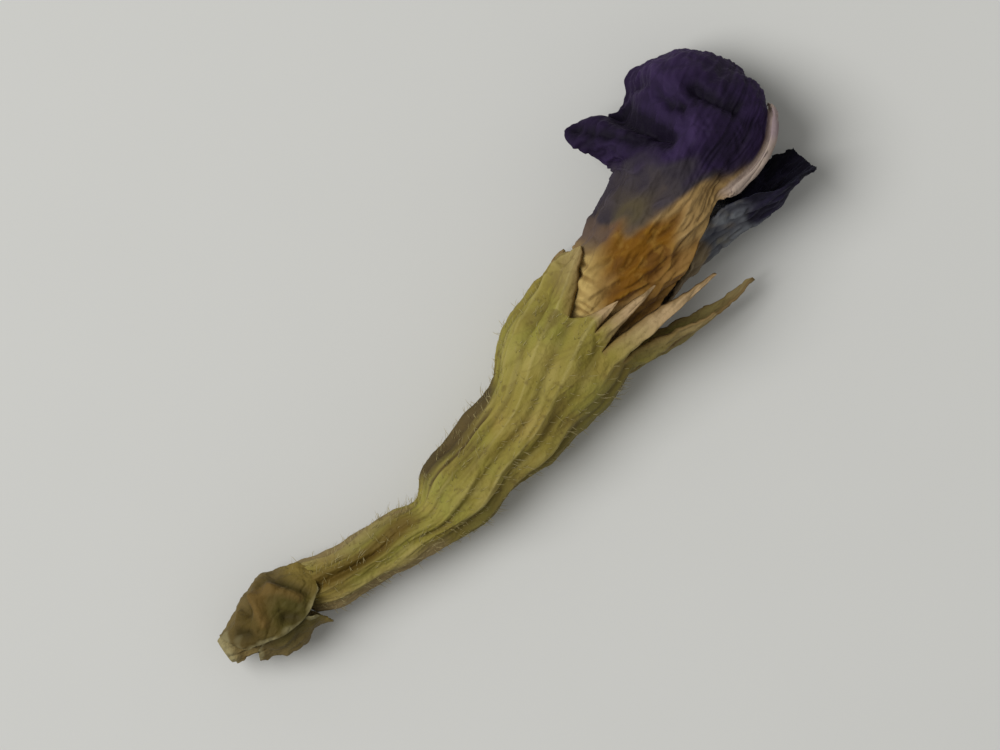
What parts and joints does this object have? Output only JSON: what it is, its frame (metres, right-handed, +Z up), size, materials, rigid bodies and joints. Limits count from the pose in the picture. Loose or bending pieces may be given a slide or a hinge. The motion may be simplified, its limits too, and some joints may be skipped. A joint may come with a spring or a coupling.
{
  "type": "butterfly pea flower",
  "caption": "Dried butterfly pea flower for tea or garnish, lying on its side: ribbed straw-green calyx, fluted ochre throat, crumpled violet petals.",
  "frame": {"origin": "middle of the flower's outline seen from above, on the surface that it lies on", "axes": "+X from the stalk end to the petals, +Y to the flower's left side, +Z up from the surface"},
  "size_m": [0.03, 0.0093, 0.0056],
  "materials": {
    "dried_stalk": "dry, fibrous, matt",
    "dried_scale": "dry, shrivelled, matt",
    "dried_husk": "papery and ribbed, straw-green with brown grooves",
    "standard_petal": "crumpled dry petal, indigo-violet with an ochre fluted throat and a pale rim",
    "wing_petals": "dry petal, dark indigo",
    "keel_petals": "dry petal, cream with a lilac edge",
    "stamens": "dry, cream",
    "pistil": "dry, greenish cream"
  },
  "bodies": {
    "root": {"pedicel": "dried_stalk", "bracteole_left": "dried_scale", "bracteole_right": "dried_scale", "calyx": "dried_husk", "standard_petal": "standard_petal", "wing_petal_right": "wing_petals", "wing_petal_left": "wing_petals", "keel_petals": "keel_petals", "stamen_column": "stamens", "pistil": "pistil"}
  },
  "joints": []
}
